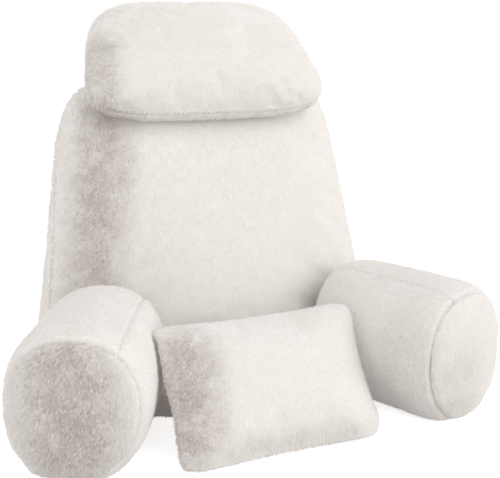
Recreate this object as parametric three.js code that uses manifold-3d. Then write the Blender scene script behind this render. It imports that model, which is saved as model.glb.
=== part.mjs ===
// Reading pillow with arms: a leaning backrest, two bolster arms sewn to its sides, a neck pillow
// hung over its top and a lumbar pillow between the arms. Millimetres, +Z up, the front faces -Y.

import * as THREE from 'three';
import { mergeVertices } from 'three/addons/utils/BufferGeometryUtils.js';
import Module from 'manifold-3d';

const wasm = await Module();
wasm.setup();

const gap = 0.33; // left between two cushions that press on each other
const seamDepth = 4; // how far a seam draws the fur in
const seamCrowding = 1.35; // above 1 it packs the facets closer near the seams
const sameStation = 0.001; // points on a unit box no further apart than this lie on one line

// In the tables below, corners and crown are the powers of the round outline and of the swelling:
// 2 is a circle and a high one is nearly square. A soleShare is the share of the height that the
// weight presses flat on the floor.

// The front and back panels of the backrest: the back one is wider, so the sides slant outwards.
const backrest = {
  centreX: -5,
  height: 580,
  front: { baseHalfWidth: 164, topHalfWidth: 208, baseY: -124, topY: 45 },
  back: { baseHalfWidth: 450, topHalfWidth: 286, baseY: 54, topY: 190 },
  belly: { base: 110, top: 25, power: 1.5 }, // how far the back panel swells out
  foot: { depth: 80, power: 4, sidePower: 4 }, // how far the foot of the front panel swells out
  topSag: { depth: 30, power: 4 }, // how far the neck pillow presses the middle of the top down
  soleShare: 0.1,
  bellyStart: 0.5, // from the middle of the depth
  sideSeam: 0.25, // where the back panel is sewn to the sides, from the middle of the depth
  corners: 6.2,
  crown: 2.85,
  segments: [18, 8, 18],
};

const arm = {
  halfWidth: 110,
  halfHeight: 114,
  frontLength: 134,
  farLength: 146, // reaches into the side of the backrest, which presses it flat
  frontGrowth: 0.04, // wider at the front cap than at the far end, as a share of the width
  farRise: 12, // the far end sits higher, where it is sewn to the backrest
  soleShare: 0.04,
  lean: 9, // how far the weight pushes the lower half outwards
  capDome: 12, // how far the middle of an end cap swells out
  splay: THREE.MathUtils.degToRad(24.5),
  centreX: 281,
  centreY: -182,
  corners: 2.33,
  crown: 7.2,
  longSeamStations: { left: 2 / 3, right: 1 / 3 }, // from the top's middle to its inner corner
  segments: [12, 10, 12],
};

const neckPillow = {
  halfWidth: 217,
  halfHeight: 135,
  halfThickness: 62,
  topNarrowing: 0.13,
  tilt: THREE.MathUtils.degToRad(46),
  centre: [-5, 102, 591],
  corners: 4.05,
  crown: 2.3,
  segments: [16, 8, 12],
};

const lumbarPillow = {
  halfWidth: 188,
  halfHeight: 121,
  halfThickness: 50,
  topSpread: 0.03, // the top corners reach this much further out and the bottom ones less
  sideDraw: 0.08, // how far the middle of each edge is drawn in, as a share of the size
  tilt: THREE.MathUtils.degToRad(36),
  turn: THREE.MathUtils.degToRad(4),
  centre: [-8, -250, 95],
  corners: 9,
  crown: 2.2,
  segments: [14, 6, 10],
};

const floorSlab = { side: 2000, thickness: 200 };

const furColours = {
  backrest: '#f1eee9',
  arms: '#f0ece6',
  pillows: '#f3f0eb',
};

const { lerp } = THREE.MathUtils;

// Moves an evenly spaced station of the box to where the facets turn by like angles.
function spaced(station) {
  const crowded = Math.sign(station) * (1 - (1 - Math.abs(station)) ** seamCrowding);
  return Math.tan(crowded * Math.PI / 4);
}

// A filled cushion's unit form. Seen along Y its outline is a square with round corners, and from
// the side it swells with a round crown. Each point keeps its place on the box that it came from.
function unitForm({ corners, crown, segments }) {
  const box = new THREE.BoxGeometry(2, 2, 2, ...segments);
  box.deleteAttribute('normal');
  box.deleteAttribute('uv');
  const form = mergeVertices(box);
  const onBox = [];
  const point = new THREE.Vector3();
  const position = form.getAttribute('position');
  for (let i = 0; i < position.count; i++) {
    point.fromBufferAttribute(position, i);
    onBox.push(point.clone());
    point.set(...point.toArray().map(spaced));
    const square = Math.max(Math.abs(point.x), Math.abs(point.z));
    const round = (Math.abs(point.x) ** corners + Math.abs(point.z) ** corners) ** (1 / corners);
    const swell = (square ** crown + Math.abs(point.y) ** crown) ** (1 / crown);
    const outline = round > 0 ? square / round : 1;
    position.setXYZ(i, point.x * outline / swell, point.y / swell, point.z * outline / swell);
  }
  return { form, onBox };
}

// Gives the unit form its real shape, then draws in the points that lie on a seam.
function cushionGeometry(size, shape, isOnSeam) {
  const { form, onBox } = unitForm(size);
  const position = form.getAttribute('position');
  const point = new THREE.Vector3();
  for (let i = 0; i < position.count; i++) {
    point.fromBufferAttribute(position, i);
    position.setXYZ(i, ...shape(point.x, point.y, point.z));
  }
  return moveAlongNormals(form, (i) => (isOnSeam(onBox[i]) ? -seamDepth : 0));
}

function moveAlongNormals(geometry, distanceAt) {
  const moved = geometry.clone();
  moved.computeVertexNormals();
  const position = moved.getAttribute('position');
  const normals = moved.getAttribute('normal');
  const point = new THREE.Vector3();
  const normal = new THREE.Vector3();
  for (let i = 0; i < position.count; i++) {
    normal.fromBufferAttribute(normals, i);
    point.fromBufferAttribute(position, i).addScaledVector(normal, distanceAt(i));
    position.setXYZ(i, ...point.toArray());
  }
  moved.deleteAttribute('normal');
  return moved;
}

const isOnEdge = ({ x, z }) => Math.max(Math.abs(x), Math.abs(z)) === 1;

function furMesh(name, geometry, colour) {
  const material = new THREE.MeshStandardMaterial({ color: colour, roughness: 0.95, metalness: 0 });
  const mesh = new THREE.Mesh(geometry, material);
  mesh.name = name;
  return mesh;
}

function makeBackrest() {
  const { front, back, belly, bellyStart, foot, topSag, height, sideSeam } = backrest;
  const shape = (x, y, z) => {
    const up = (z + 1) / 2;
    const towardsBack = (y + 1) / 2;
    const frontHalfWidth = lerp(front.baseHalfWidth, front.topHalfWidth, up);
    const backHalfWidth = lerp(back.baseHalfWidth, back.topHalfWidth, up);
    const footSwell = foot.depth * (1 - up) ** foot.power * (1 - x ** foot.sidePower);
    const frontY = lerp(front.baseY, front.topY, up) - footSwell;
    const backY = lerp(back.baseY, back.topY, up);
    const onBelly = Math.max(0, (y - bellyStart) / (1 - bellyStart));
    const swell = lerp(belly.base, belly.top, up) * onBelly ** belly.power;
    const sag = topSag.depth * (1 - x * x) * up ** topSag.power;
    return [
      x * lerp(frontHalfWidth, backHalfWidth, towardsBack),
      lerp(frontY, backY, towardsBack) + swell,
      Math.max(0, height * lerp(-backrest.soleShare, 1, up) - sag),
    ];
  };
  const isOnSeam = (box) => {
    const onPanelEdge = box.y === -1 || box.y === sideSeam;
    return isOnEdge(box) && onPanelEdge && box.z > -1;
  };
  const mesh = furMesh('backrest', cushionGeometry(backrest, shape, isOnSeam), furColours.backrest);
  mesh.position.x = backrest.centreX;
  return mesh;
}

// The front cap's seam runs all round, and one long seam runs from it to the far end.
function makeArm(name, side) {
  const { halfWidth, halfHeight, frontLength, farLength } = arm;
  const shape = (x, y, z) => {
    const growth = 1 - arm.frontGrowth * y;
    const dome = arm.capDome * Math.max(0, 1 - x * x - z * z);
    const height = halfHeight * growth * (1 - arm.soleShare + z);
    const rise = arm.farRise * (1 + y) / 2 * (1 + z);
    const length = y < 0 ? frontLength : farLength;
    const outwards = side * arm.lean * Math.max(0, -z);
    return [x * halfWidth * growth + outwards, y * (length + dome), Math.max(0, height + rise)];
  };
  const { left, right } = arm.longSeamStations;
  const seamStation = side < 0 ? left : -right;
  const isOnSeam = (box) => {
    const onCap = isOnEdge(box) && box.y === -1;
    const onLong = box.z === 1 && Math.abs(box.x - seamStation) < sameStation;
    return onCap || onLong;
  };
  const mesh = furMesh(name, cushionGeometry(arm, shape, isOnSeam), furColours.arms);
  mesh.position.set(side * arm.centreX, arm.centreY, 0);
  mesh.rotation.z = side * arm.splay;
  return mesh;
}

function makeNeckPillow() {
  const { halfWidth, halfHeight, halfThickness, topNarrowing } = neckPillow;
  const shape = (x, y, z) => [x * halfWidth * (1 - topNarrowing * z), y * halfThickness, z * halfHeight];
  const isOnSeam = (box) => isOnEdge(box) && box.y === 0;
  const mesh = furMesh('neck_pillow', cushionGeometry(neckPillow, shape, isOnSeam), furColours.pillows);
  mesh.position.set(...neckPillow.centre);
  mesh.rotation.x = -neckPillow.tilt;
  return mesh;
}

// Its two panels meet in a thin edge, so no seam is drawn in.
function makeLumbarPillow() {
  const { halfWidth, halfHeight, halfThickness, topSpread, sideDraw } = lumbarPillow;
  const shape = (x, y, z) => [
    x * halfWidth * (1 + topSpread * z) * (1 - sideDraw * (1 - z * z)),
    y * halfThickness,
    z * halfHeight * (1 - sideDraw * (1 - x * x)),
  ];
  const geometry = cushionGeometry(lumbarPillow, shape, () => false);
  const mesh = furMesh('lumbar_pillow', geometry, furColours.pillows);
  mesh.position.set(...lumbarPillow.centre);
  mesh.rotation.set(-lumbarPillow.tilt, 0, lumbarPillow.turn, 'ZYX');
  return mesh;
}

function makeFloor() {
  const { side, thickness } = floorSlab;
  const slab = new THREE.BoxGeometry(side, side, thickness);
  slab.deleteAttribute('normal');
  slab.deleteAttribute('uv');
  const floor = new THREE.Mesh(mergeVertices(slab));
  floor.position.z = -thickness / 2;
  return floor;
}

function toSolid(geometry) {
  return new wasm.Manifold(new wasm.Mesh({
    numProp: 3,
    vertProperties: new Float32Array(geometry.getAttribute('position').array),
    triVerts: new Uint32Array(geometry.index.array),
  }));
}

function toGeometry(solid) {
  const mesh = solid.getMesh();
  const geometry = new THREE.BufferGeometry();
  geometry.setAttribute('position', new THREE.BufferAttribute(mesh.vertProperties, 3));
  geometry.setIndex(new THREE.BufferAttribute(mesh.triVerts, 1));
  return geometry;
}

// Flattens a cushion where it presses on another solid, with the clearance left between them.
function press(cushion, other, clearance) {
  cushion.updateMatrixWorld();
  other.updateMatrixWorld();
  const stamp = moveAlongNormals(other.geometry, () => clearance);
  stamp.applyMatrix4(other.matrixWorld);
  stamp.applyMatrix4(cushion.matrixWorld.clone().invert());
  cushion.geometry = toGeometry(toSolid(cushion.geometry).subtract(toSolid(stamp)));
}

const back = makeBackrest();
const arms = [makeArm('arm_left', -1), makeArm('arm_right', 1)];
const neck = makeNeckPillow();
const lumbar = makeLumbarPillow();
for (const side of arms) {
  press(side, back, gap);
  press(lumbar, side, gap);
}
press(neck, back, gap);
press(lumbar, makeFloor(), 0);

const readingPillow = new THREE.Group();
readingPillow.add(back, ...arms, neck, lumbar);
const middle = new THREE.Box3().setFromObject(readingPillow, true).getCenter(new THREE.Vector3());
readingPillow.position.set(-middle.x, -middle.y, 0);

export default readingPillow;
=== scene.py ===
# Reading pillow with arms: five fur cushions, each a stuffed skin with its pile of short tufts.
import math
import time

import bpy
import numpy as np
from mathutils import Matrix, Vector, noise
from mathutils.bvhtree import BVHTree


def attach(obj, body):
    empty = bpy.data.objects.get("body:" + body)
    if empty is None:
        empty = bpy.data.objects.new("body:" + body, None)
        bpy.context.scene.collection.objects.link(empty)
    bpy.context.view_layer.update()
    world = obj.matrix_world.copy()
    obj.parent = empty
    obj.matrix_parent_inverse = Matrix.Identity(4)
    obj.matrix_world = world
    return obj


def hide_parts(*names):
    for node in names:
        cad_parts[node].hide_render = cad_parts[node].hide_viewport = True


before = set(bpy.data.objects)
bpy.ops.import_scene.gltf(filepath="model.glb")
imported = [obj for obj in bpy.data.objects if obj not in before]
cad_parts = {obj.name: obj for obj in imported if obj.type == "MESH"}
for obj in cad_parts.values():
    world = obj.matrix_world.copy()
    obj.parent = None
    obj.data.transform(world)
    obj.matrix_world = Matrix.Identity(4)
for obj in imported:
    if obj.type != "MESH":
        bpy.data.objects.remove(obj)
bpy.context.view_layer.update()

startTime = time.time()
tiny = 1e-9  # keeps a length from being divided by nothing


def report(stage):
    print(f"{time.time() - startTime:6.1f} s  {stage}", flush=True)


cameraView = {
    "place": (-0.5501, -1.5212, 0.6636),
    "backward": (-0.347, -0.910, 0.225),  # from what it looks at towards the camera
    "lens": 68.6,
    "nearest": 0.05,
}


def makeCamera():
    data = bpy.data.cameras.new("camera")
    data.lens = cameraView["lens"]
    data.clip_start = cameraView["nearest"]
    camera = bpy.data.objects.new("camera", data)
    camera.location = cameraView["place"]
    camera.rotation_euler = Vector(cameraView["backward"]).to_track_quat("Z", "Y").to_euler()
    bpy.context.collection.objects.link(camera)
    bpy.context.scene.camera = camera


def onlySelect(*pieces):
    bpy.ops.object.select_all(action="DESELECT")
    for piece in pieces:
        piece.select_set(True)
    bpy.context.view_layer.objects.active = pieces[0]


def applyModifier(piece, kind, **settings):
    onlySelect(piece)
    modifier = piece.modifiers.new(kind.title(), kind)
    for setting, value in settings.items():
        setattr(modifier, setting, value)
    bpy.ops.object.modifier_apply(modifier=modifier.name)


def readPoints(piece):
    points = np.zeros(len(piece.data.vertices) * 3)
    piece.data.vertices.foreach_get("co", points)
    return points.reshape(-1, 3)


def writePoints(piece, points):
    piece.data.vertices.foreach_set("co", points.ravel())
    piece.data.update()


def readNormals(piece):
    normals = np.zeros(len(piece.data.vertices) * 3)
    piece.data.vertex_normals.foreach_get("vector", normals)
    return normals.reshape(-1, 3)


def storeNumber(piece, name, values):
    attribute = piece.data.attributes.new(name, "FLOAT", "POINT")
    attribute.data.foreach_set("value", np.asarray(values, dtype=np.float32))


def smoothStep(low, high, values):
    share = np.clip((values - low) / (high - low), 0, 1)
    return share * share * (3 - 2 * share)


def distanceToAny(trees, points):
    distances = [[tree.find_nearest(Vector(point))[3] for point in points] for tree in trees]
    return np.min(distances, axis=0)


def turned(vector, x=0, z=0):
    turn = Matrix.Rotation(math.radians(z), 3, "Z") @ Matrix.Rotation(math.radians(x), 3, "X")
    return turn @ Vector(vector)


# A seam lies where a plane cuts the skin. Each limit is a point and the side of it that the seam is on.
def seamPlane(point, normal, *limits):
    return {
        "point": np.array(point),
        "normal": np.array(Vector(normal).normalized()),
        "limits": [(np.array(place), np.array(Vector(side).normalized())) for place, side in limits],
    }


armSeamPlaces = {
    "centre": (0.281, -0.117, 0),  # of the right arm, the left one is mirrored
    "splay": 24.5,
    "cap": -0.1185,
    "longHeight": 0.15,  # the long seam is cut only above this
    "longFromMiddle": {-1: 0.0656, 1: 0.0365},
    "longSlope": 0.286,  # the arm narrows towards the far end, as a share of the distance above
}


def armSeams(side):
    places = armSeamPlaces
    x, y, z = places["centre"]
    centre = Vector((side * x, y, z))
    splay = side * places["splay"]
    fromMiddle = places["longFromMiddle"][side]
    cap = centre + turned((0, places["cap"], 0), z=splay)
    top = centre + turned((-side * fromMiddle, 0, places["longHeight"]), z=splay)
    backwards = turned((0, 1, 0), z=splay)
    across = (1, -side * fromMiddle * places["longSlope"], 0)
    return [
        seamPlane(cap, backwards),
        seamPlane(top, turned(across, z=splay), (top, turned((0, 0, 1))), (cap, backwards)),
    ]


def seamDistance(points, seams):
    nearest = np.full(len(points), np.inf)
    for seam in seams:
        away = np.abs((points - seam["point"]) @ seam["normal"])
        for place, side in seam["limits"]:
            past = np.clip(-((points - place) @ side), 0, None)
            away = np.hypot(away, past)
        nearest = np.minimum(nearest, away)
    return nearest


stuffing = {
    "pileHeight": 0.0035,  # how far the skin lies under the tips
    "slimmer": 0.002,  # the skin starts this much thinner, then swells
    "lowInset": 0.3,  # the share of both that is left near the floor, where the pile is pressed down
    "lowZone": (0.01, 0.09),
    "soleZone": (0.004, 0.03),  # below this the underside is let down to the floor again
    "soleHeight": 0.001,
    "soleShare": 0.2,  # how much of its height the underside keeps
    "lowest": 0.0008,
    "voxel": 0.008,
    "smoothing": 6,
    "frames": 20,
    "pressure": 4.0,
    "slack": 0.02,
    "mostMove": 0.008,
    "leastHold": 0.01,
    "holdNear": 0.012,  # what is this close to a neighbour or the floor is held
    "holdFade": (0.6, 1.6),  # as shares of that distance
    "seamHold": 1.0,  # how firmly a seam is held while the cushion swells
    "seamHoldZone": (0.004, 0.012),
    "seamDepth": 0.0045,
    "seamWidth": 0.0027,
    "seamLip": 0.0007,
    "lipPlace": 2.2,  # in seam widths from the seam
    "snapAcross": 0.0026,  # a row of points this near is put right on the seam
    "snapPast": 0.0027,
    "creaseFill": 0.002,  # fills the wide crease of the plain shape before a thin one is cut
    "creaseWidth": 0.013,
    "capOnly": False,  # whether the cap's seam ends the ruffled patch and its painted shade
    "capFade": 0.004,
    "bareTouch": (0.001, 0.006),  # no pile where a neighbour presses on the skin
    "bareSole": (0.002, 0.006),  # and none on the sole, which is this low
    "soleFacing": (0.7, 0.95),  # and faces down this much
}

cloth = {
    "quality": 6,
    "mass": 0.3,
    "stretch": 12,
    "shear": 6,
    "bend": 1.5,
}


def copyNode(node, name):
    cushion = bpy.data.objects.new(name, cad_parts[node].data.copy())
    bpy.context.collection.objects.link(cushion)
    cushion.data.materials.clear()
    onlySelect(cushion)
    bpy.ops.object.mode_set(mode="EDIT")
    bpy.ops.mesh.select_all(action="SELECT")
    bpy.ops.mesh.remove_doubles(threshold=0.00005)
    bpy.ops.object.mode_set(mode="OBJECT")
    return cushion


def nodeTree(node):
    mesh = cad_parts[node].data
    return BVHTree.FromPolygons([v.co for v in mesh.vertices], [p.vertices for p in mesh.polygons])


def holdMap(points, seams, toOthers, values):
    near, far = (share * values["holdNear"] for share in values["holdFade"])
    atSeam = 1 - smoothStep(*values["seamHoldZone"], seamDistance(points, seams))
    return np.maximum(1 - smoothStep(near, far, toOthers), values["seamHold"] * atSeam)


def slimDown(skin, seams, trees, values):
    points, normals = readPoints(skin), readNormals(skin)
    toFloor = points[:, 2].copy()
    toOthers = np.minimum(distanceToAny(trees, points), toFloor)
    low = values["lowInset"] + (1 - values["lowInset"]) * smoothStep(*values["lowZone"], toFloor)
    inset = values["pileHeight"] + values["slimmer"]
    points = points - normals * (inset * low)[:, None]
    sole = 1 - smoothStep(*values["soleZone"], toFloor)
    points[:, 2] -= sole * (points[:, 2] - values["soleHeight"] - values["soleShare"] * toFloor)
    writePoints(skin, points)
    return holdMap(points, seams, toOthers, values)


def inflate(skin, held, values):
    pins = skin.vertex_groups.new(name="held")
    for index in np.flatnonzero(held > values["leastHold"]):
        pins.add([int(index)], float(held[index]), "REPLACE")
    before = readPoints(skin)
    modifier = skin.modifiers.new("Cloth", "CLOTH")
    settings = modifier.settings
    settings.quality = cloth["quality"]
    settings.mass = cloth["mass"]
    settings.tension_stiffness = settings.compression_stiffness = cloth["stretch"]
    settings.shear_stiffness = cloth["shear"]
    settings.bending_stiffness = cloth["bend"]
    settings.use_pressure = True
    settings.uniform_pressure_force = values["pressure"]
    settings.shrink_min = -values["slack"]
    settings.vertex_group_mass = "held"
    settings.effector_weights.gravity = 0
    modifier.collision_settings.use_collision = False
    modifier.point_cache.frame_start = 1
    modifier.point_cache.frame_end = values["frames"]
    scene = bpy.context.scene
    for step in range(1, values["frames"] + 1):
        scene.frame_set(step)
    onlySelect(skin)
    bpy.ops.object.modifier_apply(modifier=modifier.name)
    scene.frame_set(1)
    move = readPoints(skin) - before
    length = np.linalg.norm(move, axis=1, keepdims=True)
    most = values["mostMove"]
    capped = most * np.tanh(length / most)
    writePoints(skin, before + move / np.maximum(length, tiny) * capped)
    skin.vertex_groups.clear()


def carveSeams(skin, seams, values):
    depth, width = values["seamDepth"], values["seamWidth"]
    points, normals = readPoints(skin), readNormals(skin)
    for seam in seams:
        offset = (points - seam["point"]) @ seam["normal"]
        away = seamDistance(points, [seam])
        onto = (np.abs(offset) < values["snapAcross"]) & (away < values["snapPast"])
        points = points - np.where(onto, offset, 0)[:, None] * seam["normal"]
        away = np.where(onto, 0, away)
        groove = -depth * np.exp(-(away / width) ** 2)
        groove += values["seamLip"] * np.exp(-((away - values["lipPlace"] * width) / width) ** 2)
        full = values["creaseFill"] * np.clip(1 - away / values["creaseWidth"], 0, None)
        points = points + normals * (groove + full)[:, None]
    writePoints(skin, points)


# Where the nap is ruffled the tufts stray, turn and come out shorter, and the fur is patchy. Painted shade
# also darkens the fur there, as the strips lie where shade falls: the left-facing sides, the gap by the
# left arm and the feet. Each strip has two ends, a reach and an amount.
ruffledShadeStrips = [
    ((-0.345, -0.25, 0.17), (-0.342, -0.25, 0.07), 0.10, 1.0),  # the left cap
    ((-0.25, 0.055, 0.16), (-0.195, 0.11, 0.50), 0.07, 0.85),  # the left side of the backrest
    ((-0.205, 0.09, 0.53), (-0.195, 0.14, 0.61), 0.052, 0.6),  # the left end of the neck pillow
    ((-0.15, -0.19, 0.15), (-0.16, -0.25, 0.06), 0.068, 0.95),  # the left end of the lumbar pillow
    ((-0.12, -0.262, 0.03), (0.10, -0.25, 0.02), 0.03, 0.3),  # and its lower edge, painted shade along its foot
    ((0.215, -0.22, 0.13), (0.215, -0.21, 0.05), 0.08, 0.25),  # the inner side of the right arm
    ((0.305, -0.26, 0.10), (0.305, -0.26, 0.04), 0.07, 0.25),  # the foot of its cap
    ((0.17, -0.19, 0.004), (0.25, -0.23, 0.004), 0.02, 0.55),  # and the edge that it stands on, a painted shadow along its foot
    ((-0.17, -0.04, 0.01), (-0.13, -0.05, 0.01), 0.05, 1.4),  # the foot of the backrest by the left arm, painted shade in the gap there
]

ruffledShadeUneven = {
    "fade": (0.1, 1.2),  # a strip fades out between these shares of its reach
    "scale": 34.0,
    "amount": 0.4,
    "roughness": 0.6,
    "step": 2.0,
    "octaves": 3,
}


def ruffledShadeShare(points):
    uneven = ruffledShadeUneven
    share = np.zeros(len(points))
    for first, second, reach, amount in ruffledShadeStrips:
        start, along = np.array(first), np.array(second) - np.array(first)
        station = np.clip((points - start) @ along / (along @ along), 0, 1)
        away = np.linalg.norm(points - start - station[:, None] * along, axis=1)
        full, none = (part * reach for part in uneven["fade"])
        share = np.maximum(share, amount * (1 - smoothStep(full, none, away)))
    patches = [noise.fractal(Vector(point) * uneven["scale"], uneven["roughness"], uneven["step"],
                             uneven["octaves"]) for point in points]
    return np.clip(share * (1 + uneven["amount"] * np.array(patches)), 0, 1)


def finishSkin(skin, seams, trees, values):
    points, normals = readPoints(skin), readNormals(skin)
    points[:, 2] = np.maximum(points[:, 2], values["lowest"])
    writePoints(skin, points)
    storeNumber(skin, "seamDistance", seamDistance(points, seams))
    # the ruffled patches, which also carry painted shade
    ruffled = ruffledShadeShare(points)
    if values["capOnly"]:
        cap = seams[0]
        ruffled *= smoothStep(0, values["capFade"], -(points - cap["point"]) @ cap["normal"])
    storeNumber(skin, "ruffled", ruffled)
    touching = distanceToAny(trees, points + normals * values["pileHeight"])
    low = 1 - smoothStep(*values["bareSole"], points[:, 2])
    onSole = low * smoothStep(*values["soleFacing"], -normals[:, 2])
    storeNumber(skin, "pileShare", smoothStep(*values["bareTouch"], touching) * (1 - onSole))
    onlySelect(skin)
    bpy.ops.object.shade_smooth()


def makeSkin(node, seams, neighbours, **changes):
    values = {**stuffing, **changes}
    trees = [nodeTree(other) for other in neighbours]
    skin = copyNode(node, node + "_skin")
    applyModifier(skin, "REMESH", mode="VOXEL", voxel_size=values["voxel"])
    applyModifier(skin, "SMOOTH", factor=0.5, iterations=values["smoothing"])
    held = slimDown(skin, seams, trees, values)
    inflate(skin, held, values)
    applyModifier(skin, "SUBSURF", levels=1, render_levels=1)
    carveSeams(skin, seams, values)
    finishSkin(skin, seams, trees, values)
    report(f"{skin.name}: {len(skin.data.polygons)} faces")
    return skin


pile = {
    "length": 0.0075,
    "width": 0.002,
    "belly": 0.8,  # a tuft's width half way up, as a share of its width at the root
    "bend": 0.08,  # how far it is bent there, as a share of its length
    "density": 160000,  # tufts to a square metre
    "lengths": (0.7, 1.15),  # shortest and longest, as shares of the length
    "widths": (0.7, 1.3),
    "stand": 0.4,  # how far the tufts stand up, against 1 for lying along the skin
    "spread": 0.22,
    "fall": (0.0, 0.6, -1.0),  # the way the nap was brushed
    "strokes": ((9.0, 0.6), (34.0, 0.4)),  # scale and share: broad strokes of the hand, then small clumps
    "swirl": 1.2,
    "skinShading": 0.93,  # how far a tuft is lit as the skin under it is
    "clump": (400.0, 400.0, 230.0),  # clumps to a metre across and down, the nap draws them out
    "ruffle": 0.6,  # how far a clump turns from its neighbours where the nap is ruffled
    "smoothRuffle": 0.02,
    "tones": (0.66, 0.84),  # the darkest and the palest tuft where it is smooth
    "paintedShade": 0.62,  # painted shade: how much darker the fur is on the ruffled strips
    "patchy": 1.0,
    "curl": 0.35,  # how far single tufts stray where the nap is ruffled
    "shorter": 0.3,
    "seamShade": 0.4,  # painted shade: how much darker the fur is down in a seam
    "seamReach": 0.003,
    "seamShort": 0.5,  # how long the tufts are right on a seam
    "seamShortReach": 0.006,
    "lowest": 0.0006,
    "toneInMap": 0.99,  # the tuft's UV map holds its tone, and a little of its width
    "widthInMap": 0.008,
}


def makeTuft(name, values):
    half, length = values["width"] / 2, values["length"]
    belly, bend, middle = half * values["belly"], length * values["bend"], length / 2
    corners = [(-half, 0, 0), (half, 0, 0), (belly, bend, middle), (-belly, bend, middle), (0, 0, length)]
    mesh = bpy.data.meshes.new(name)
    mesh.from_pydata(corners, [], [(1, 0, 3, 2), (2, 3, 4)])
    for attribute, numbers in (("along", (0, 0, 0.5, 0.5, 1)), ("across", (0, 1, 1, 0, 0.5))):
        mesh.attributes.new(attribute, "FLOAT", "POINT").data.foreach_set("value", numbers)
    tuft = bpy.data.objects.new(name, mesh)
    bpy.context.collection.objects.link(tuft)
    return tuft


def addNode(tree, kind, inputs=None, **settings):
    node = tree.nodes.new(kind)
    for setting, value in settings.items():
        setattr(node, setting, value)
    for socket, value in (inputs or {}).items():
        if isinstance(value, bpy.types.NodeSocket):
            tree.links.new(value, node.inputs[socket])
        else:
            node.inputs[socket].default_value = value
    return node


def numberMath(tree, operation, *inputs):
    return addNode(tree, "ShaderNodeMath", dict(enumerate(inputs)), operation=operation).outputs[0]


def vectorMath(tree, operation, *inputs):
    node = addNode(tree, "ShaderNodeVectorMath", dict(enumerate(inputs)), operation=operation)
    return node.outputs["Value" if operation == "DOT_PRODUCT" else "Vector"]


def scaled(tree, vector, factor):
    inputs = {"Vector": vector, "Scale": factor}
    return addNode(tree, "ShaderNodeVectorMath", inputs, operation="SCALE").outputs["Vector"]


def smoothNodes(tree, value, low, high, first, last):
    inputs = {"Value": value, "From Min": low, "From Max": high, "To Min": first, "To Max": last}
    return addNode(tree, "ShaderNodeMapRange", inputs, interpolation_type="SMOOTHSTEP").outputs["Result"]


def combined(tree, x, y, z):
    return addNode(tree, "ShaderNodeCombineXYZ", {"X": x, "Y": y, "Z": z}).outputs[0]


def position(tree):
    return addNode(tree, "GeometryNodeInputPosition").outputs[0]


def named(tree, name, kind="FLOAT"):
    node = addNode(tree, "GeometryNodeInputNamedAttribute", {"Name": name}, data_type=kind)
    return node.outputs["Attribute"]


def store(tree, geometry, name, value, kind="FLOAT", domain="POINT"):
    node = addNode(tree, "GeometryNodeStoreNamedAttribute",
                   {"Geometry": geometry, "Name": name, "Value": value}, data_type=kind, domain=domain)
    return node.outputs["Geometry"]


def randomNumber(tree, low, high, seed):
    node = addNode(tree, "FunctionNodeRandomValue", data_type="FLOAT")
    node.inputs[2].default_value = low
    node.inputs[3].default_value = high
    node.inputs["Seed"].default_value = seed
    return node.outputs[1]


def randomWay(tree, seed):
    node = addNode(tree, "FunctionNodeRandomValue", data_type="FLOAT_VECTOR")
    node.inputs[0].default_value = (-1, -1, -1)
    node.inputs[1].default_value = (1, 1, 1)
    node.inputs["Seed"].default_value = seed
    return node.outputs[0]


def unevenness(tree, place, scale):
    uneven = addNode(tree, "ShaderNodeTexNoise", {"Vector": place, "Scale": scale, "Detail": 2.0})
    way = vectorMath(tree, "SUBTRACT", uneven.outputs["Color"], (0.5, 0.5, 0.5))
    return way, numberMath(tree, "SUBTRACT", uneven.outputs["Fac"], 0.5)


# A tuft's tone: random, patchy where ruffled, with painted shade on the strips and down in the seams.
def tuftTone(tree, ruffled, clumpTone, values, seed):
    patchy = numberMath(tree, "MULTIPLY", ruffled, values["patchy"] * 2)
    patches = numberMath(tree, "MULTIPLY", clumpTone, patchy)
    tone = numberMath(tree, "ADD", randomNumber(tree, *values["tones"], seed), patches)
    tone = numberMath(tree, "SUBTRACT", tone, numberMath(tree, "MULTIPLY", ruffled, values["paintedShade"]))
    # painted shade down in the seams
    toSeam = named(tree, "seamDistance")
    inSeamShade = smoothNodes(tree, toSeam, 0.0, values["seamReach"], values["seamShade"], 0.0)
    tone = numberMath(tree, "SUBTRACT", tone, inSeamShade)
    return numberMath(tree, "MINIMUM", numberMath(tree, "MAXIMUM", tone, 0.0), 1.0)


def tuftShading(tree, normal, ruffled, clumpWay, values):
    share = numberMath(tree, "MULTIPLY", ruffled, values["ruffle"])
    share = numberMath(tree, "ADD", share, values["smoothRuffle"])
    strayed = scaled(tree, clumpWay, numberMath(tree, "MULTIPLY", share, 2.0))
    return vectorMath(tree, "NORMALIZE", vectorMath(tree, "ADD", normal, strayed))


# The brushed way laid flat along the skin, then stood up a little, with each tuft astray.
def tuftWay(tree, place, normal, ruffled, values, seed):
    lie = Vector(values["fall"])
    for scale, share in values["strokes"]:
        swirl = unevenness(tree, place, scale)[0]
        lie = vectorMath(tree, "ADD", lie, scaled(tree, swirl, values["swirl"] * share * 2))
    outwards = scaled(tree, normal, vectorMath(tree, "DOT_PRODUCT", lie, normal))
    lie = vectorMath(tree, "NORMALIZE", vectorMath(tree, "SUBTRACT", lie, outwards))
    way = vectorMath(tree, "ADD", lie, scaled(tree, normal, values["stand"]))
    astray = numberMath(tree, "MULTIPLY", ruffled, values["curl"])
    astray = numberMath(tree, "ADD", astray, values["spread"])
    return vectorMath(tree, "ADD", way, scaled(tree, randomWay(tree, seed), astray))


def tuftSize(tree, ruffled, values, seed):
    toSeam = named(tree, "seamDistance")
    share = smoothNodes(tree, toSeam, 0.0, values["seamShortReach"], values["seamShort"], 1.0)
    kept = numberMath(tree, "SUBTRACT", 1.0, numberMath(tree, "MULTIPLY", ruffled, values["shorter"]))
    share = numberMath(tree, "MULTIPLY", share, kept)
    size = numberMath(tree, "MULTIPLY", share, randomNumber(tree, *values["lengths"], seed))
    return combined(tree, randomNumber(tree, *values["widths"], seed + 1), size, size)


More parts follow.
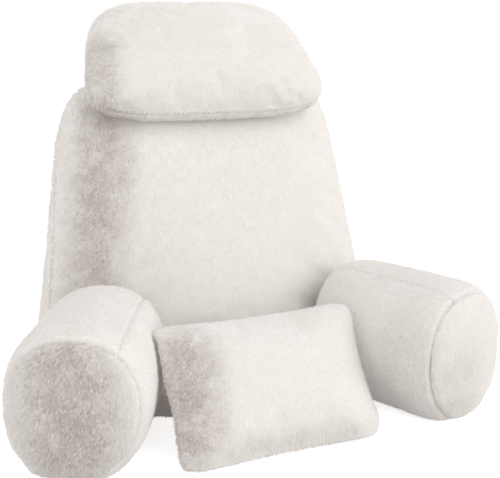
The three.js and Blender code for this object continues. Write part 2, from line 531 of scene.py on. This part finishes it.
def placeTufts(tree, points, tuft, way, normal, size):
    turn = addNode(tree, "FunctionNodeAlignRotationToVector", {"Vector": way}, axis="Z").outputs[0]
    turn = addNode(tree, "FunctionNodeAlignRotationToVector", {"Rotation": turn, "Vector": normal},
                   axis="Y", pivot_axis="Z").outputs[0]
    shape = addNode(tree, "GeometryNodeObjectInfo", {"Object": tuft}).outputs["Geometry"]
    inputs = {"Points": points, "Instance": shape, "Rotation": turn, "Scale": size}
    tufts = addNode(tree, "GeometryNodeInstanceOnPoints", inputs).outputs[0]
    return addNode(tree, "GeometryNodeRealizeInstances", {"Geometry": tufts}).outputs[0]


def mapTufts(tree, tufts, values):
    tone = numberMath(tree, "MULTIPLY", named(tree, "tone"), values["toneInMap"])
    across = numberMath(tree, "MULTIPLY", named(tree, "across"), values["widthInMap"])
    uv = combined(tree, numberMath(tree, "ADD", tone, across), named(tree, "along"), 0.0)
    return store(tree, tufts, "OFBake", uv, "FLOAT2", "CORNER")


def liftTufts(tree, tufts, values):
    spot = addNode(tree, "ShaderNodeSeparateXYZ", {"Vector": position(tree)})
    height = numberMath(tree, "MAXIMUM", spot.outputs["Z"], values["lowest"])
    lifted = combined(tree, spot.outputs["X"], spot.outputs["Y"], height)
    return addNode(tree, "GeometryNodeSetPosition", {"Geometry": tufts, "Position": lifted}).outputs[0]


def shadeTufts(tree, tufts, values):
    own = scaled(tree, addNode(tree, "GeometryNodeInputNormal").outputs[0], 1 - values["skinShading"])
    below = scaled(tree, named(tree, "shadedNormal", "FLOAT_VECTOR"), values["skinShading"])
    facing = vectorMath(tree, "NORMALIZE", vectorMath(tree, "ADD", below, own))
    node = addNode(tree, "GeometryNodeSetMeshNormal", {"Mesh": tufts}, mode="FREE", domain="CORNER")
    tree.links.new(facing, node.inputs["Custom Normal"])
    return node.outputs["Mesh"]


def pileNodes(name, tuft, values, seed):
    tree = bpy.data.node_groups.new(name, "GeometryNodeTree")
    tree.interface.new_socket("Skin", in_out="INPUT", socket_type="NodeSocketGeometry")
    tree.interface.new_socket("Pile", in_out="OUTPUT", socket_type="NodeSocketGeometry")
    skin = addNode(tree, "NodeGroupInput").outputs[0]
    density = numberMath(tree, "MULTIPLY", named(tree, "pileShare"), values["density"])
    scatter = addNode(tree, "GeometryNodeDistributePointsOnFaces",
                      {"Mesh": skin, "Density": density, "Seed": seed}, distribute_method="RANDOM")
    points = scatter.outputs["Points"]
    points = store(tree, points, "skinNormal", scatter.outputs["Normal"], "FLOAT_VECTOR")
    normal, place = named(tree, "skinNormal", "FLOAT_VECTOR"), position(tree)
    ruffled = named(tree, "ruffled")
    clumpWay, clumpTone = unevenness(tree, vectorMath(tree, "MULTIPLY", place, values["clump"]), 1.0)
    points = store(tree, points, "tone", tuftTone(tree, ruffled, clumpTone, values, seed + 1))
    shading = tuftShading(tree, normal, ruffled, clumpWay, values)
    points = store(tree, points, "shadedNormal", shading, "FLOAT_VECTOR")
    way = tuftWay(tree, place, normal, ruffled, values, seed + 2)
    tufts = placeTufts(tree, points, tuft, way, normal, tuftSize(tree, ruffled, values, seed + 3))
    tufts = liftTufts(tree, mapTufts(tree, tufts, values), values)
    out = addNode(tree, "NodeGroupOutput")
    tree.links.new(shadeTufts(tree, tufts, values), out.inputs[0])
    return tree


def makePile(skin, name, seed, **changes):
    values = {**pile, **changes}
    tuft = makeTuft(name + "_tuft", values)
    cover = bpy.data.objects.new(name, skin.data.copy())
    bpy.context.collection.objects.link(cover)
    onlySelect(cover)
    modifier = cover.modifiers.new("Pile", "NODES")
    modifier.node_group = pileNodes(name + "_nodes", tuft, values, seed)
    bpy.ops.object.modifier_apply(modifier=modifier.name)
    bpy.data.objects.remove(tuft)
    cover.data.materials.clear()
    cover.visible_shadow = False  # pale fibres let the light through to each other
    report(f"{name}: {sum(len(face.vertices) - 2 for face in cover.data.polygons)} triangles")
    return cover


furColours = {
    "tip": (0.943, 0.927, 0.908, 1),
    # the root end is a little darker than the tip: painted shade down among the tufts
    "root": (0.90, 0.868, 0.835, 1),
    "dark": (0.475, 0.433, 0.41, 1),  # the dark end of the tones, which painted shade draws the fur towards on the ruffled strips
    "skinTone": 0.75,
    "skinAlong": 0.5,
    "roughness": 0.9,
    "specular": 0.15,
    "sheen": 0.15,
    "sheenRoughness": 0.5,
}


def colourMix(tree, share, first, second):
    mix = addNode(tree, "ShaderNodeMix", {0: share, 6: first, 7: second}, data_type="RGBA")
    return mix.outputs[2]


# Tone runs from 0 for the darkest tufts to 1 for the palest, and along from a tuft's root to its tip.
def makeFurGroup():
    group = bpy.data.node_groups.new("furColour", "ShaderNodeTree")
    for name in ("Tone", "Along"):
        group.interface.new_socket(name, in_out="INPUT", socket_type="NodeSocketFloat")
    group.interface.new_socket("Colour", in_out="OUTPUT", socket_type="NodeSocketColor")
    entry = addNode(group, "NodeGroupInput")
    pale = colourMix(group, entry.outputs["Along"], furColours["root"], furColours["tip"])
    colour = colourMix(group, entry.outputs["Tone"], furColours["dark"], pale)
    out = addNode(group, "NodeGroupOutput")
    group.links.new(colour, out.inputs[0])
    return group


def furMaterial(name, furGroup, isPile):
    material = bpy.data.materials.new(name)
    material.use_nodes = True
    tree = material.node_tree
    tree.nodes.clear()
    fur = addNode(tree, "ShaderNodeGroup", node_tree=furGroup)
    if isPile:
        uv = addNode(tree, "ShaderNodeUVMap", uv_map="OFBake").outputs[0]
        spot = addNode(tree, "ShaderNodeSeparateXYZ", {"Vector": uv})
        tree.links.new(spot.outputs["X"], fur.inputs["Tone"])
        tree.links.new(spot.outputs["Y"], fur.inputs["Along"])
    else:
        # the skin gets the same painted shade on the ruffled strips
        ruffled = addNode(tree, "ShaderNodeAttribute", attribute_name="ruffled").outputs["Fac"]
        paintedShade = numberMath(tree, "MULTIPLY", ruffled, pile["paintedShade"])
        tree.links.new(numberMath(tree, "SUBTRACT", furColours["skinTone"], paintedShade), fur.inputs["Tone"])
        fur.inputs["Along"].default_value = furColours["skinAlong"]
    shader = addNode(tree, "ShaderNodeBsdfPrincipled", {
        "Base Color": fur.outputs[0],
        "Roughness": furColours["roughness"],
        "Specular IOR Level": furColours["specular"],
        "Sheen Weight": furColours["sheen"],
        "Sheen Roughness": furColours["sheenRoughness"],
    })
    out = addNode(tree, "ShaderNodeOutputMaterial")
    tree.links.new(shader.outputs[0], out.inputs[0])
    return material


white = (1, 1, 1, 1)
studio = {
    "lamps": {  # degrees round to the right from the front, degrees up, power, softness in degrees
        "key": (45, 29, 1.34, 60),
        "left fill": (-86, 15, 0.81, 80),
    },
    "shadowless": ("left fill",),  # it reaches in between the cushions as light off their fur does
    "fill": 0.77,
    "fillColour": (1.0, 0.99, 0.98, 1),
    "backdrop": 1.0,
    "floorSize": 30,
    "floorHeight": -0.0005,
    "floor": (0.96, 0.96, 0.96, 1),
    "floorGlow": 0.6,
    "bounceHeight": -0.001,
    "bounce": (0.78, 0.77, 0.76, 1),
}


def makeFloor(name, height, colour, glow):
    bpy.ops.mesh.primitive_plane_add(size=studio["floorSize"], location=(0, 0, height))
    floor = bpy.context.object
    floor.name = name
    material = bpy.data.materials.new(name)
    material.use_nodes = True
    material.cycles.emission_sampling = "NONE"  # its glow is not a lamp
    shader = material.node_tree.nodes["Principled BSDF"]
    shader.inputs["Base Color"].default_value = colour
    shader.inputs["Roughness"].default_value = 1.0
    shader.inputs["Specular IOR Level"].default_value = 0.0
    shader.inputs["Emission Color"].default_value = white
    shader.inputs["Emission Strength"].default_value = glow
    floor.data.materials.append(material)
    return floor


def makeFloors():
    seen = makeFloor("floor", studio["floorHeight"], studio["floor"], studio["floorGlow"])
    seen.visible_diffuse = False
    seen.visible_shadow = False
    bounce = makeFloor("floor_bounce", studio["bounceHeight"], studio["bounce"], 0)
    bounce.visible_camera = False  # it only sends the light back up


def makeLamp(name, aside, up, power, softness):
    across, height = math.radians(aside), math.radians(up)
    level = math.cos(height)
    place = Vector((math.sin(across) * level, -math.cos(across) * level, math.sin(height)))
    bpy.ops.object.light_add(type="SUN", location=place)
    lamp = bpy.context.object
    lamp.name = name
    lamp.data.angle = math.radians(softness)
    lamp.data.energy = power
    lamp.data.use_shadow = name not in studio["shadowless"]
    lamp.rotation_euler = place.to_track_quat("Z", "Y").to_euler()


def glowNode(tree, colour, strength):
    return addNode(tree, "ShaderNodeBackground", {"Color": colour, "Strength": strength}).outputs[0]


def makeWorld():
    world = bpy.data.worlds.new("studio")
    bpy.context.scene.world = world
    world.use_nodes = True
    tree = world.node_tree
    tree.nodes.clear()
    fill = glowNode(tree, studio["fillColour"], studio["fill"])
    backdrop = glowNode(tree, white, studio["backdrop"])
    ray = addNode(tree, "ShaderNodeLightPath").outputs["Is Camera Ray"]
    mixed = addNode(tree, "ShaderNodeMixShader", {0: ray, 1: fill, 2: backdrop})
    out = addNode(tree, "ShaderNodeOutputWorld")
    tree.links.new(mixed.outputs[0], out.inputs[0])


def makeStudio():
    makeFloors()
    for name, settings in studio["lamps"].items():
        makeLamp(name, *settings)
    makeWorld()
    bpy.context.scene.view_settings.view_transform = "Standard"


armStuffing = {"seamHold": 0.3, "slack": 0.008, "slimmer": 0.001}
pillowPile = {"length": 0.0065, "stand": 0.3}
cushions = {
    "backrest": {
        "seams": [seamPlane((0, 0.0651, 0), (0, 1, -0.2366))],
        "neighbours": ("arm_left", "arm_right", "neck_pillow"),
        "slot": "backrest_fur",
        "fill": 0.8,
        "skin": {"slimmer": -0.0005, "slack": 0.004, "pressure": 1.5, "voxel": 0.0095, "seamDepth": 0.0015},
        "pile": {"density": 85000},
    },
    "arm_left": {
        "seams": armSeams(-1),
        "neighbours": ("backrest", "lumbar_pillow"),
        "slot": "arm_fur",
        "fill": 0.9,
        "skin": {**armStuffing, "capOnly": True},
        "pile": {},
    },
    "arm_right": {
        "seams": armSeams(1),
        "neighbours": ("backrest", "lumbar_pillow"),
        "slot": "arm_fur",
        "fill": 0.9,
        "skin": armStuffing,
        "pile": {},
    },
    "neck_pillow": {
        "seams": [seamPlane((-0.005, 0.167, 0.591), turned((0, 1, 0), x=-46))],
        "neighbours": ("backrest",),
        "slot": "pillow_fur",
        "fill": 0.85,
        "skin": {"slack": 0.014, "slimmer": 0.001, "seamHold": 0.5, "seamDepth": 0.0025},
        "pile": pillowPile,
    },
    "lumbar_pillow": {
        "seams": [seamPlane((-0.008, -0.185, 0.095), turned((0, 1, 0), x=-36, z=4))],
        "neighbours": ("arm_left", "arm_right"),
        "slot": "pillow_fur",
        "fill": 0.8,
        "skin": {"slimmer": 0.0, "smoothing": 2, "slack": 0.012},
        "pile": pillowPile,
    },
}
seedStep = 10  # each pile draws from its own seeds

makeCamera()
report("camera")
furGroup = makeFurGroup()
backing = furMaterial("backing", furGroup, False)
tufted = furMaterial("pile", furGroup, True)

for number, (node, cushion) in enumerate(cushions.items()):
    skin = makeSkin(node, cushion["seams"], cushion["neighbours"], **cushion["skin"])
    skin.data.materials.append(backing)
    cover = makePile(skin, node + "_pile", seedStep * number, **cushion["pile"])
    cover.data.materials.append(tufted)
    for piece in (skin, cover):
        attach(piece, "root")
    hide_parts(node)

makeStudio()
report("studio")
